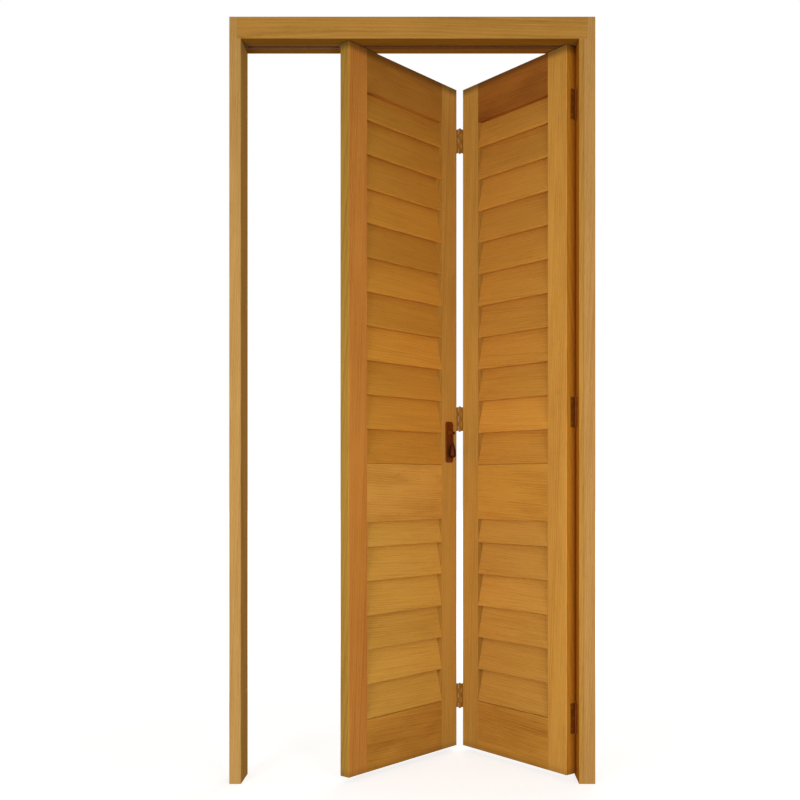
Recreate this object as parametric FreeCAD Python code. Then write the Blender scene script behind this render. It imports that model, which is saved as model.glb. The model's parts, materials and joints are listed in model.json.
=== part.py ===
import FreeCAD
import Part
import math
import os
from FreeCAD import Vector

os.makedirs("parts", exist_ok=True)

# A louvred two-leaf bifold closet door in its wooden frame, in millimetres.
#
# X runs along the opening to the right, Y from the front plane to the back, Z up from the floor.
# The origin is on the floor, in the front plane, midway between the outer faces of the jambs.
#
# The hung leaf turns on the right jamb, with its hinge pins behind it.  The lead leaf is hinged to
# the hung leaf, with its pins in front, and its free end follows a trolley in a track in the head.
# Every piece is drawn with the door closed and then carried to the resting, half-folded pose.

# ---- driving dimensions ---------------------------------------------------------------------

# Frame
FRAME_WIDTH = 1040.0          # over the outer faces of the jambs
FRAME_HEIGHT = 2180.0         # floor to the top of the head
FRAME_DEPTH = 106.0
JAMB_THICK = 33.0
HEAD_HEIGHT = 62.0
HEAD_LET_IN = 12.0            # how far each end of the head is housed in its jamb
PACKER_THICK = 13.0           # board on the hinge jamb that carries the hinges
ARRIS = 1.5                   # chamfer on the long edges of jambs and stiles

# Leaves
LEAF_THICK = 35.0
LEAF_SETBACK = 19.0           # front plane to the near face of the closed leaves
FLOOR_GAP = 15.0
HEAD_GAP = 3.0
JAMB_GAP = 1.5                # between the hung leaf and the packer
FOLD_GAP = 3.0                # between the two leaves
LEAD_GAP = 7.0                # the leading edge swings 5 mm outwards before it comes in
STILE_WIDTH = 75.0
TOP_RAIL_HEIGHT = 122.0
MID_RAIL_HEIGHT = 170.0
MID_RAIL_LEVEL = 727.0        # underside of the middle rail above the bottom of the leaf
BOTTOM_RAIL_HEIGHT = 152.0
TENON_THICK = 12.0
TENON_LENGTH = 42.0
TENON_SHOULDER = 14.0         # above and below each tenon
TENON_CLEAR = 0.2
REST_FOLD = 50.5              # degrees that each leaf stands away from closed
FULL_FOLD = 80.0              # degrees when the door is folded back

# Louvres
SLAT_THICK = 10.0
SLAT_SLOPE = 77.5             # degrees from level: nobody sees through from less than 35 below
SLAT_PITCH = 100.0            # from the bottom of a bay; its top slat is ripped down to fit
SLAT_CHAMFER = 2.0
SLAT_INSET = 0.5              # slat edge behind the leaf face
SLAT_HOUSING = 10.0           # depth of the angled housings in the stiles
SLAT_CLEAR = 0.15
SLAT_END_CLEAR = 0.5

# Butt hinges
JAMB_HINGE_HEIGHT = 88.0
FOLD_HINGE_HEIGHT = 76.0
TOP_HINGE_DROP = 165.0        # leaf top to the middle of the top hinges
MID_HINGE_DROP = 1055.0
LOW_HINGE_RISE = 160.0        # leaf bottom to the middle of the bottom hinges
PLATE_THICK = 2.0
JAMB_PLATE_DEPTH = 18.0       # how far a plate is let in across the edge of the leaf
FOLD_PLATE_DEPTH = 28.0
KNUCKLES = 5
KNUCKLE_RADIUS = 4.5
KNUCKLE_GAP = 0.4             # between one knuckle and the next
KNUCKLE_CLEAR = 0.5           # around a turning knuckle
FOLD_STANDOFF = 6.5           # clear space that lets the folded leaves keep off the pull
PIN_RADIUS = 2.5
PIN_CLEAR = 0.06
PIN_CAP_RADIUS = 4.0
PIN_CAP_HEIGHT = 2.4
HOLE_MARGIN = 13.0            # end of a plate to its outer screws
HOLE_STAGGER = 3.0            # screws step this far either side of the middle of the plate

# Screws
HINGE_SCREW = (4.0, 1.8, 26.0)      # head radius, shank radius, length
FRAME_SCREW = (5.0, 2.5, 72.0)
PACKER_SCREW = (4.0, 1.8, 34.0)
TRACK_SCREW = (3.5, 1.75, 22.0)
BRACKET_SCREW = (3.6, 1.6, 28.0)
PULL_SCREW = (3.2, 1.5, 20.0)
SCREW_SINK = 0.1              # screw head below the face it sits in
SCREW_SIDES = 8               # screws and their holes have flat sides, because there are many
FRAME_SCREW_DROP = 16.0       # below the top of the head
FRAME_SCREW_INSET = 20.0      # from the front and back of the frame
PACKER_SCREWS = 4
TRACK_SCREWS = 4
PACKER_END = 330.0            # end of the packer or track to its first screw
TRACK_END = 80.0
FIXING_RADIUS = 3.25          # holes that fasten the frame to the wall
FIXING_SINK_RADIUS = 7.0
FIXING_LEVELS = (250.0, 810.0, 1370.0, 1930.0)
FIXING_INSET = 19.0           # from the back of the frame

# Track and trolley
TRACK_WIDTH = 30.0
TRACK_HEIGHT = 26.0
TRACK_WALL = 2.0
TRACK_SLOT = 11.0
TRACK_CLEAR = 0.2
STOP_LENGTH = 8.0
STOP_CLEAR = 3.0              # between the trolley at its limit and the opening stop
GUIDE_INSET = 32.5            # guide bolt to the leading edge of the lead leaf
WHEEL_RADIUS = 8.0
WHEEL_WIDTH = 5.0
WHEEL_BASE = 28.0
WHEEL_CLEAR = 0.5
TYRE_ROUND = 0.8
AXLE_RADIUS = 2.0
AXLE_CLEAR = 0.06
AXLE_HEAD_RADIUS = 3.2
AXLE_HEAD = 0.8
TROLLEY_WIDTH = 11.0
TROLLEY_LENGTH = 38.0
TROLLEY_HEIGHT = 13.0
TROLLEY_ROUND = 5.0
BOLT_RADIUS = 3.0
BOLT_HEAD_RADIUS = 4.2
BOLT_HEAD_HEIGHT = 3.6
BOLT_CLEAR = 0.06
BOLT_POCKET_CLEAR = 0.4
BOLT_END = 3.0                # thread that shows below the nut
NUT_FLATS = 10.0
NUT_HEIGHT = 5.0
BRACKET_THICK = 3.0
BRACKET_WIDTH = 24.0
BRACKET_BEFORE = 24.0         # plate on the leading side of the bolt
BRACKET_AFTER = 38.0
BRACKET_EYE = 9.0             # radius of the tongue around the bolt
BRACKET_SCREWS = (-15.0, 13.0, 29.0)    # along the leaf from the bolt

# Drop pull
PULL_FROM_FOLD = 40.0         # middle of the backplate to the folding edge of the lead leaf
PULL_LEVEL = 985.0
BACKPLATE_WIDTH = 38.0
BACKPLATE_HEIGHT = 130.0
BACKPLATE_THICK = 3.0
BACKPLATE_ROUND = 10.0
BACKPLATE_BEVEL = 1.0
PULL_SCREW_MARGIN = 13.0
PIVOT_DROP = 36.0             # pivot below the top of the backplate
PIVOT_REACH = 12.0            # pivot in front of the backplate
PIVOT_RADIUS = 2.0
PIVOT_CLEAR = 0.08
PIVOT_HEAD_RADIUS = 3.2
PIVOT_HEAD = 1.2
CHEEK_THICK = 3.5
CHEEK_RADIUS = 5.0
CHEEK_HEIGHT = 15.0
EYE_WIDTH = 7.0
EYE_RADIUS = 4.6
EYE_CLEAR = 0.3
NECK_RADIUS = 3.0
NECK_LENGTH = 30.0
DROP_LENGTH = 80.0            # pivot to the tip of the pull
DROP_RADIUS = 11.0

# ---- values that follow from them -----------------------------------------------------------

UP = Vector(0, 0, 1)
DOWN = Vector(0, 0, -1)
LEFT = Vector(-1, 0, 0)
RIGHT = Vector(1, 0, 0)
BACK = Vector(0, 1, 0)

STRIKE_FACE = -FRAME_WIDTH / 2 + JAMB_THICK
JAMB_FACE = FRAME_WIDTH / 2 - JAMB_THICK
PACKER_FACE = JAMB_FACE - PACKER_THICK
HEAD_UNDERSIDE = FRAME_HEIGHT - HEAD_HEIGHT
OPENING = PACKER_FACE - STRIKE_FACE

LEAF_BOTTOM = FLOOR_GAP
LEAF_TOP = HEAD_UNDERSIDE - HEAD_GAP
LEAF_NEAR = LEAF_SETBACK
LEAF_FAR = LEAF_SETBACK + LEAF_THICK
LEAF_MIDDLE = (LEAF_NEAR + LEAF_FAR) / 2

JAMB_THROW = KNUCKLE_RADIUS + KNUCKLE_CLEAR        # pin centre beyond the far face
FOLD_THROW = KNUCKLE_RADIUS + FOLD_STANDOFF        # pin centre before the near face
PIN_LINE = LEAF_FAR + JAMB_THROW                   # the jamb pins and the track lie on this line

# The guide bolt is as far from the fold pins as they are from the jamb pins, and on their line.
# So it runs straight along the track, and both leaves always turn through the same angle.
HUNG_WIDTH = (OPENING - 1.5 * JAMB_GAP - FOLD_GAP - LEAD_GAP - GUIDE_INSET) / 2
LEAD_WIDTH = HUNG_WIDTH + JAMB_GAP / 2 + GUIDE_INSET
ARM = HUNG_WIDTH + (JAMB_GAP + FOLD_GAP) / 2
JAMB_PIN = Vector(PACKER_FACE - JAMB_GAP / 2, PIN_LINE, 0)
FOLD_PIN = Vector(JAMB_PIN.x - ARM, LEAF_NEAR - FOLD_THROW, 0)
GUIDE_PIN = Vector(FOLD_PIN.x - ARM, PIN_LINE, 0)

HUNG_RIGHT = PACKER_FACE - JAMB_GAP
HUNG_LEFT = HUNG_RIGHT - HUNG_WIDTH
LEAD_RIGHT = HUNG_LEFT - FOLD_GAP
LEAD_LEFT = LEAD_RIGHT - LEAD_WIDTH

MID_RAIL_BOTTOM = LEAF_BOTTOM + MID_RAIL_LEVEL
MID_RAIL_TOP = MID_RAIL_BOTTOM + MID_RAIL_HEIGHT
HINGE_LEVELS = {
    "top": LEAF_TOP - TOP_HINGE_DROP,
    "middle": LEAF_TOP - MID_HINGE_DROP,
    "bottom": LEAF_BOTTOM + LOW_HINGE_RISE,
}

TRACK_FLOOR = HEAD_UNDERSIDE + TRACK_WALL          # the lips that the wheels run on
AXLE_LEVEL = TRACK_FLOOR + WHEEL_RADIUS
BRACKET_TOP = LEAF_TOP
BRACKET_UNDERSIDE = BRACKET_TOP - BRACKET_THICK

# ---- where each piece rests -----------------------------------------------------------------


def swung(point, centre, degrees):
    """The point turned about a vertical line through centre."""
    return centre + FreeCAD.Rotation(UP, degrees).multVec(point - centre)


def guide_place(degrees):
    """The guide bolt when both leaves stand this far from closed."""
    fold = swung(FOLD_PIN, JAMB_PIN, -degrees)
    return fold + FreeCAD.Rotation(UP, degrees).multVec(GUIDE_PIN - FOLD_PIN)


FOLD_PIN_REST = swung(FOLD_PIN, JAMB_PIN, -REST_FOLD)
GUIDE_PIN_REST = guide_place(REST_FOLD)


def on_frame(shape):
    return shape


def on_hung_leaf(shape):
    placed = shape.copy()
    placed.rotate(JAMB_PIN, UP, -REST_FOLD)
    return placed


def on_lead_leaf(shape):
    placed = shape.copy()
    placed.rotate(FOLD_PIN, UP, REST_FOLD)
    placed.translate(FOLD_PIN_REST - FOLD_PIN)
    return placed


def on_trolley(shape):
    placed = shape.copy()
    placed.translate(GUIDE_PIN_REST - GUIDE_PIN)
    return placed


# ---- small building blocks ------------------------------------------------------------------


def block(x0, x1, y0, y1, z0, z1):
    """A box between two X, two Y and two Z values, in either order."""
    size = (abs(x1 - x0), abs(y1 - y0), abs(z1 - z0))
    return Part.makeBox(*size, Vector(min(x0, x1), min(y0, y1), min(z0, z1)))


def rod(radius, start, direction, length):
    return Part.makeCylinder(radius, length, start, direction)


def turned(outline, origin, direction):
    """A solid of revolution: (radius, distance) points about a line from origin."""
    points = [Vector(radius, 0, distance) for radius, distance in outline]
    face = Part.Face(Part.makePolygon(points + points[:1]))
    solid = face.revolve(Vector(0, 0, 0), UP, 360)
    solid.Placement = FreeCAD.Placement(origin, FreeCAD.Rotation(UP, direction))
    return solid


def long_edges(shape, direction, keep):
    """The straight edges along a direction whose middle passes the test."""
    chosen = []
    for edge in shape.Edges:
        start, end = edge.Vertexes[0].Point, edge.Vertexes[-1].Point
        along = (end - start).normalize()
        if abs(along.dot(direction)) > 0.999 and keep((start + end) * 0.5):
            chosen.append(edge)
    return chosen


def flat_sided(rings, origin, direction):
    """A solid through rings of (radius, distance), with SCREW_SIDES flat sides between them."""
    angles = [2 * math.pi * k / SCREW_SIDES for k in range(SCREW_SIDES)]
    loops = [
        [Vector(radius * math.cos(angle), radius * math.sin(angle), distance) for angle in angles]
        for radius, distance in rings
    ]
    outlines = [loops[0], loops[-1]]
    for near, far in zip(loops, loops[1:]):
        outlines += [[near[k - 1], near[k], far[k], far[k - 1]] for k in range(SCREW_SIDES)]
    faces = [Part.Face(Part.makePolygon(corners + corners[:1])) for corners in outlines]
    solid = Part.Solid(Part.Shell(faces))
    solid.Placement = FreeCAD.Placement(origin, FreeCAD.Rotation(UP, direction))
    return solid


def countersunk_screw(sizes, head, direction):
    """A wood screw with its flat head at a point and its tip along a direction."""
    head_radius, shank_radius, length = sizes
    rings = [
        (head_radius, SCREW_SINK),
        (shank_radius, SCREW_SINK + head_radius - shank_radius),
        (shank_radius, length - 2 * shank_radius),
        (0.2 * shank_radius, length),
    ]
    return flat_sided(rings, head, direction)


def countersink(sizes, head, direction, depth):
    """The hole that a countersunk screw takes through a metal plate of some depth."""
    head_radius, shank_radius, _ = sizes
    mouth = head_radius + SCREW_SINK
    hole = shank_radius + SCREW_SINK
    return flat_sided([(mouth, 0), (hole, mouth - hole), (hole, depth)], head, direction)


# ---- frame ----------------------------------------------------------------------------------


def head_blank():
    reach = FRAME_WIDTH / 2 - JAMB_THICK + HEAD_LET_IN
    return block(-reach, reach, 0, FRAME_DEPTH, HEAD_UNDERSIDE, FRAME_HEIGHT)


def track_groove():
    half = TRACK_WIDTH / 2 + TRACK_CLEAR
    top = HEAD_UNDERSIDE + TRACK_HEIGHT + TRACK_CLEAR
    reach = FRAME_WIDTH / 2
    return block(-reach, reach, PIN_LINE - half, PIN_LINE + half, HEAD_UNDERSIDE - 1, top)


def frame_screws():
    """Two screws through each jamb into the end grain of the head."""
    level = FRAME_HEIGHT - FRAME_SCREW_DROP
    screws = []
    for side, inward in ((1, LEFT), (-1, RIGHT)):
        for depth in (FRAME_SCREW_INSET, FRAME_DEPTH - FRAME_SCREW_INSET):
            head = Vector(side * FRAME_WIDTH / 2, depth, level)
            screws.append(countersunk_screw(FRAME_SCREW, head, inward))
    return Part.makeCompound(screws)


def jamb(side):
    """A jamb with the housing for the head."""
    outer = side * FRAME_WIDTH / 2
    inner = outer - side * JAMB_THICK
    board = block(outer, inner, 0, FRAME_DEPTH, 0, FRAME_HEIGHT)
    inner_edges = long_edges(board, UP, lambda middle: abs(middle.x - inner) < 0.01)
    board = board.makeChamfer(ARRIS, inner_edges)
    return board.cut(head_blank())


def fixing_holes(face, side):
    """Countersunk holes from the inner face of the frame out to the wall."""
    outward = Vector(side, 0, 0)
    sink = FIXING_SINK_RADIUS - FIXING_RADIUS
    holes = []
    for level in FIXING_LEVELS:
        mouth = Vector(face, FRAME_DEPTH - FIXING_INSET, level)
        cone = Part.makeCone(FIXING_SINK_RADIUS, FIXING_RADIUS, sink, mouth, outward)
        holes.append(cone.fuse(rod(FIXING_RADIUS, mouth, outward, FRAME_WIDTH / 2 - abs(face))))
    return holes


def packer_screws():
    first = PACKER_END
    step = (HEAD_UNDERSIDE - 2 * PACKER_END) / (PACKER_SCREWS - 1)
    middle = FRAME_DEPTH / 2
    heads = [Vector(PACKER_FACE, middle, first + k * step) for k in range(PACKER_SCREWS)]
    return Part.makeCompound([countersunk_screw(PACKER_SCREW, head, RIGHT) for head in heads])


def top_track():
    """An aluminium channel with two inturned lips, let into the underside of the head."""
    half = TRACK_WIDTH / 2
    top = HEAD_UNDERSIDE + TRACK_HEIGHT
    ends = (STRIKE_FACE, JAMB_FACE)
    channel = block(*ends, PIN_LINE - half, PIN_LINE + half, HEAD_UNDERSIDE, top)
    inside = half - TRACK_WALL
    hollow = block(*ends, PIN_LINE - inside, PIN_LINE + inside, TRACK_FLOOR, top - TRACK_WALL)
    slot_half = TRACK_SLOT / 2
    slot = block(*ends, PIN_LINE - slot_half, PIN_LINE + slot_half, HEAD_UNDERSIDE, TRACK_FLOOR)
    return channel.cut([hollow, slot])


def track_screws():
    """Button-headed screws up through the web of the track."""
    head_radius, shank_radius, length = TRACK_SCREW
    web = HEAD_UNDERSIDE + TRACK_HEIGHT - TRACK_WALL
    head_height = 0.5 * head_radius
    button = [(0.6 * head_radius, 0), (head_radius, 0.6 * head_height), (head_radius, head_height)]
    shank = [(shank_radius, head_height), (shank_radius, length)]
    step = (JAMB_FACE - STRIKE_FACE - 2 * TRACK_END) / (TRACK_SCREWS - 1)
    screws = []
    for k in range(TRACK_SCREWS):
        start = Vector(STRIKE_FACE + TRACK_END + k * step, PIN_LINE, web - head_height)
        head = flat_sided(button, start, UP)
        screws.append(head.fuse(flat_sided(shank, start, UP)).removeSplitter())
    return Part.makeCompound(screws)


def track_stop(start):
    """A rubber block in the channel, keyed in the slot."""
    end = start + STOP_LENGTH
    inside = TRACK_WIDTH / 2 - TRACK_WALL
    slot_half = TRACK_SLOT / 2
    web = HEAD_UNDERSIDE + TRACK_HEIGHT - TRACK_WALL
    body = block(start, end, PIN_LINE - inside, PIN_LINE + inside, TRACK_FLOOR, web)
    key = block(start, end, PIN_LINE - slot_half, PIN_LINE + slot_half, HEAD_UNDERSIDE, TRACK_FLOOR)
    return body.fuse(key).removeSplitter()


def track_stops():
    """One at the closing end, and one where the trolley stands with the door folded back."""
    folded = guide_place(FULL_FOLD).x + WHEEL_BASE / 2 + WHEEL_RADIUS + STOP_CLEAR
    return Part.makeCompound([track_stop(STRIKE_FACE), track_stop(folded)])


# ---- butt hinges ----------------------------------------------------------------------------


class Hinge:
    """A butt hinge: its pin on a vertical line, its plates off along +Y or -Y."""

    def __init__(self, pin, level, height, depth, throw, gap, heading):
        self.pin = Vector(pin.x, pin.y, level)
        self.height = height
        self.depth = depth
        self.throw = throw
        self.gap = gap
        self.heading = heading

    def span(self, side, near, far):
        """A block of plate thickness on one side of the gap, between two distances off the pin."""
        inner = side * self.gap / 2
        outer = inner + side * PLATE_THICK
        y0, y1 = self.heading * near, self.heading * far
        slab = block(inner, outer, y0, y1, -self.height / 2, self.height / 2)
        slab.translate(self.pin)
        return slab

    def holes(self, side):
        """Where the three staggered screws start, on the face that looks into the gap."""
        middle = self.throw + self.depth / 2
        rise = self.height / 2 - HOLE_MARGIN
        places = ((HOLE_STAGGER, rise), (-HOLE_STAGGER, 0), (HOLE_STAGGER, -rise))
        face = side * self.gap / 2
        return [
            self.pin + Vector(face, self.heading * (middle + step), level)
            for step, level in places
        ]

    def screws(self, side):
        away = Vector(side, 0, 0)
        return [countersunk_screw(HINGE_SCREW, head, away) for head in self.holes(side)]

    def plate(self, side, first_knuckle):
        """A plate with every second knuckle, counted from the bottom."""
        edge = KNUCKLE_RADIUS + KNUCKLE_CLEAR
        plate = self.span(side, edge, self.throw + self.depth)
        pitch = self.height / KNUCKLES
        for k in range(first_knuckle, KNUCKLES, 2):
            low = -self.height / 2 + k * pitch + KNUCKLE_GAP / 2
            high = low + pitch - KNUCKLE_GAP
            foot = self.pin + Vector(0, 0, low)
            barrel = rod(KNUCKLE_RADIUS, foot, UP, high - low)
            inner = side * self.gap / 2
            outer = inner + side * PLATE_THICK
            tongue = block(inner, outer, 0, self.heading * edge, low, high)
            tongue.translate(self.pin)
            plate = plate.fuse([barrel, tongue])
        end = self.pin - Vector(0, 0, self.height)
        cutters = [rod(PIN_RADIUS + PIN_CLEAR, end, UP, 2 * self.height)]
        away = Vector(side, 0, 0)
        for head in self.holes(side):
            cutters.append(countersink(HINGE_SCREW, head, away, PLATE_THICK + 1))
        return plate.cut(cutters).removeSplitter()

    def seat(self, side):
        """The recess that a plate lies in, flush with the edge of the wood."""
        return self.span(side, self.throw - KNUCKLE_RADIUS, self.throw + self.depth)

    def notch(self, side):
        """Room in the wood beside the pin for the knuckles and the pin's caps."""
        reach = KNUCKLE_RADIUS + KNUCKLE_CLEAR
        half = self.height / 2 + PIN_CAP_HEIGHT + KNUCKLE_CLEAR
        room = block(0, side * reach, -reach, reach, -half, half)
        room.translate(self.pin)
        return room

    def loose_pin(self):
        half = self.height / 2
        outline = [
            (0, -half - PIN_CAP_HEIGHT),
            (0.6 * PIN_CAP_RADIUS, -half - PIN_CAP_HEIGHT),
            (PIN_CAP_RADIUS, -half - 0.5 * PIN_CAP_HEIGHT),
            (PIN_CAP_RADIUS, -half),
            (PIN_RADIUS, -half),
            (PIN_RADIUS, half),
            (PIN_CAP_RADIUS, half),
            (PIN_CAP_RADIUS, half + 0.5 * PIN_CAP_HEIGHT),
            (0.6 * PIN_CAP_RADIUS, half + PIN_CAP_HEIGHT),
            (0, half + PIN_CAP_HEIGHT),
        ]
        return turned(outline, self.pin, UP)


FORWARD = -1
BACKWARD = 1
JAMB_HINGES = {
    name: Hinge(
        JAMB_PIN, level, JAMB_HINGE_HEIGHT, JAMB_PLATE_DEPTH, JAMB_THROW, JAMB_GAP, FORWARD
    )
    for name, level in HINGE_LEVELS.items()
}
FOLD_HINGES = {
    name: Hinge(
        FOLD_PIN, level, FOLD_HINGE_HEIGHT, FOLD_PLATE_DEPTH, FOLD_THROW, FOLD_GAP, BACKWARD
    )
    for name, level in HINGE_LEVELS.items()
}


def all_seats(hinges, side):
    return [hinge.seat(side) for hinge in hinges.values()]


def all_screws(hinges, side):
    return [screw for hinge in hinges.values() for screw in hinge.screws(side)]


# ---- louvres --------------------------------------------------------------------------------


def slat_chord():
    """The width of slat that fills the leaf's thickness at the slope of the louvres."""
    slope = math.radians(SLAT_SLOPE)
    half_depth = LEAF_THICK / 2 - SLAT_INSET
    half = (half_depth - SLAT_THICK / 2 * math.sin(slope)) / math.cos(slope) + SLAT_CHAMFER
    return 2 * half


def slat(x0, x1, level, grow=0.0):
    """A slat from x0 to x1 with eased arrises, its middle at a level, grown for a housing."""
    chord = slat_chord() / 2 + grow
    thick = SLAT_THICK / 2 + grow
    ease = SLAT_CHAMFER
    corners = [
        (chord, thick - ease),
        (chord - ease, thick),
        (ease - chord, thick),
        (-chord, thick - ease),
        (-chord, ease - thick),
        (ease - chord, -thick),
        (chord - ease, -thick),
        (chord, ease - thick),
    ]
    slope = math.radians(SLAT_SLOPE)
    points = []
    for along, across in corners:
        depth = -along * math.cos(slope) - across * math.sin(slope)
        height = -along * math.sin(slope) + across * math.cos(slope)
        points.append(Vector(x0, LEAF_MIDDLE + depth, level + height))
    face = Part.Face(Part.makePolygon(points + points[:1]))
    return face.extrude(Vector(x1 - x0, 0, 0))


def slat_levels(bottom, top):
    """Slat middles from the bottom of a bay upwards, until they fill it."""
    slope = math.radians(SLAT_SLOPE)
    reach = slat_chord() / 2 * math.sin(slope) + (SLAT_THICK / 2 - SLAT_CHAMFER) * math.cos(slope)
    first = bottom + reach + SLAT_END_CLEAR
    gaps = math.ceil((top - SLAT_END_CLEAR - reach - first) / SLAT_PITCH)
    return [first + k * SLAT_PITCH for k in range(gaps + 1)]


BAYS = {
    "upper_louvres": (MID_RAIL_TOP, LEAF_TOP - TOP_RAIL_HEIGHT),
    "lower_louvres": (LEAF_BOTTOM + BOTTOM_RAIL_HEIGHT, MID_RAIL_BOTTOM),
}


def bay_slats(x0, x1, bottom, top, grow=0.0):
    """The slats of one bay, grown for their housings, the top one ripped to fit the rail."""
    room = block(x0, x1, LEAF_NEAR, LEAF_FAR, bottom, top - SLAT_END_CLEAR + grow)
    slats = []
    for level in slat_levels(bottom, top):
        slats += slat(x0, x1, level, grow).common(room).Solids
    return slats


def louvres(x0, x1, bay):
    """The slats of one bay, with their ends in the housings of the stiles."""
    reach = SLAT_HOUSING - SLAT_END_CLEAR
    return Part.makeCompound(bay_slats(x0 - reach, x1 + reach, *bay))


# ---- leaves ---------------------------------------------------------------------------------


def tenon(x0, x1, z0, z1, grow=0.0):
    half = TENON_THICK / 2 + grow
    low = z0 + TENON_SHOULDER - grow
    high = z1 - TENON_SHOULDER + grow
    return block(x0, x1, LEAF_MIDDLE - half, LEAF_MIDDLE + half, low, high)


def rail_levels():
    return {
        "top_rail": (LEAF_TOP - TOP_RAIL_HEIGHT, LEAF_TOP),
        "mid_rail": (MID_RAIL_BOTTOM, MID_RAIL_TOP),
        "bottom_rail": (LEAF_BOTTOM, LEAF_BOTTOM + BOTTOM_RAIL_HEIGHT),
    }


def rail(x0, x1, z0, z1):
    """A rail between the stiles, with a tenon at each end."""
    board = block(x0, x1, LEAF_NEAR, LEAF_FAR, z0, z1)
    tongue = tenon(x0 - TENON_LENGTH, x1 + TENON_LENGTH, z0, z1)
    return board.fuse(tongue).removeSplitter()


def stile(outer, inner):
    """A stile with mortises for the rails and angled housings for the slats."""
    board = block(outer, inner, LEAF_NEAR, LEAF_FAR, LEAF_BOTTOM, LEAF_TOP)
    outer_edges = long_edges(board, UP, lambda middle: abs(middle.x - outer) < 0.01)
    board = board.makeChamfer(ARRIS, outer_edges)
    inward = 1 if outer > inner else -1
    mortise_end = inner + inward * (TENON_LENGTH + TENON_CLEAR)
    cutters = [
        tenon(inner, mortise_end, z0, z1, TENON_CLEAR) for z0, z1 in rail_levels().values()
    ]
    housing_end = inner + inward * SLAT_HOUSING
    ends = sorted((inner, housing_end))
    for bay in BAYS.values():
        cutters += bay_slats(*ends, *bay, SLAT_CLEAR)
    return board.cut(cutters)


def leaf(left, right, left_stile, right_stile):
    """The joinery of one leaf, by piece, before hinges and hardware are let in."""
    x0, x1 = left + STILE_WIDTH, right - STILE_WIDTH
    pieces = {left_stile: stile(left, x0), right_stile: stile(right, x1)}
    for name, (z0, z1) in rail_levels().items():
        pieces[name] = rail(x0, x1, z0, z1)
    for name, bay in BAYS.items():
        pieces[name] = louvres(x0, x1, bay)
    return pieces


# ---- trolley and its bracket ----------------------------------------------------------------


def trolley_body():
    """A block with rounded ends, two cross bores for the axles and a stepped bore for the bolt."""
    half = TROLLEY_WIDTH / 2
    reach = TROLLEY_LENGTH / 2
    low = AXLE_LEVEL - TROLLEY_HEIGHT / 2
    body = block(-reach, reach, -half, half, low, low + TROLLEY_HEIGHT)
    body = body.makeFillet(TROLLEY_ROUND, long_edges(body, BACK, lambda middle: True))
    spacer = half + WHEEL_CLEAR / 2
    cutters = []
    for x in (-WHEEL_BASE / 2, WHEEL_BASE / 2):
        start = Vector(x, -spacer, AXLE_LEVEL)
        body = body.fuse(rod(AXLE_HEAD_RADIUS, start, BACK, 2 * spacer))
        cutters.append(rod(AXLE_RADIUS, start, BACK, 2 * spacer))
    cutters.append(rod(BOLT_RADIUS + BOLT_CLEAR, Vector(0, 0, low), UP, TROLLEY_HEIGHT))
    pocket = Vector(0, 0, AXLE_LEVEL)
    cutters.append(rod(BOLT_HEAD_RADIUS + BOLT_POCKET_CLEAR, pocket, UP, TROLLEY_HEIGHT))
    body = body.cut(cutters).removeSplitter()
    body.translate(GUIDE_PIN)
    return body


def wheel_face():
    """Distance from the middle of the trolley to the inner face of a wheel."""
    return TROLLEY_WIDTH / 2 + WHEEL_CLEAR


def trolley_axles():
    """Two axles with riveted heads outside the wheels."""
    outside = wheel_face() + WHEEL_WIDTH + WHEEL_CLEAR / 2
    tip = outside + AXLE_HEAD
    outline = [
        (0, -tip),
        (AXLE_HEAD_RADIUS, -tip),
        (AXLE_HEAD_RADIUS, -outside),
        (AXLE_RADIUS, -outside),
        (AXLE_RADIUS, outside),
        (AXLE_HEAD_RADIUS, outside),
        (AXLE_HEAD_RADIUS, tip),
        (0, tip),
    ]
    places = [GUIDE_PIN + Vector(x, 0, AXLE_LEVEL) for x in (-WHEEL_BASE / 2, WHEEL_BASE / 2)]
    return Part.makeCompound([turned(outline, place, BACK) for place in places])


def trolley_wheel(x_side, y_side):
    """A nylon wheel with a rounded tread, bored for its axle."""
    bore = AXLE_RADIUS + AXLE_CLEAR
    outline = [
        (bore, 0),
        (WHEEL_RADIUS - TYRE_ROUND, 0),
        (WHEEL_RADIUS, TYRE_ROUND),
        (WHEEL_RADIUS, WHEEL_WIDTH - TYRE_ROUND),
        (WHEEL_RADIUS - TYRE_ROUND, WHEEL_WIDTH),
        (bore, WHEEL_WIDTH),
    ]
    inner = Vector(x_side * WHEEL_BASE / 2, y_side * wheel_face(), AXLE_LEVEL)
    return turned(outline, GUIDE_PIN + inner, Vector(0, y_side, 0))


def hanger_bolt():
    """The bolt whose head turns in the trolley, down through the slot to the bracket."""
    seat = AXLE_LEVEL + BOLT_CLEAR
    end = BRACKET_UNDERSIDE - NUT_HEIGHT - BOLT_END
    outline = [
        (0, end),
        (0.7 * BOLT_RADIUS, end),
        (BOLT_RADIUS, end + 0.3 * BOLT_RADIUS),
        (BOLT_RADIUS, seat),
        (BOLT_HEAD_RADIUS, seat),
        (BOLT_HEAD_RADIUS, seat + 0.7 * BOLT_HEAD_HEIGHT),
        (0.7 * BOLT_HEAD_RADIUS, seat + BOLT_HEAD_HEIGHT),
        (0, seat + BOLT_HEAD_HEIGHT),
    ]
    return turned(outline, GUIDE_PIN, UP)


def hanger_nut():
    """A hexagon nut under the bracket, one flat along the leaf."""
    corner = NUT_FLATS / math.sqrt(3)
    points = []
    for k in range(7):
        angle = math.radians(60 * k)
        points.append(Vector(corner * math.cos(angle), corner * math.sin(angle), 0))
    nut = Part.Face(Part.makePolygon(points)).extrude(Vector(0, 0, NUT_HEIGHT))
    nut = nut.cut(rod(BOLT_RADIUS, Vector(0, 0, 0), UP, NUT_HEIGHT))
    nut.translate(GUIDE_PIN + Vector(0, 0, BRACKET_UNDERSIDE - NUT_HEIGHT))
    return nut


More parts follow.
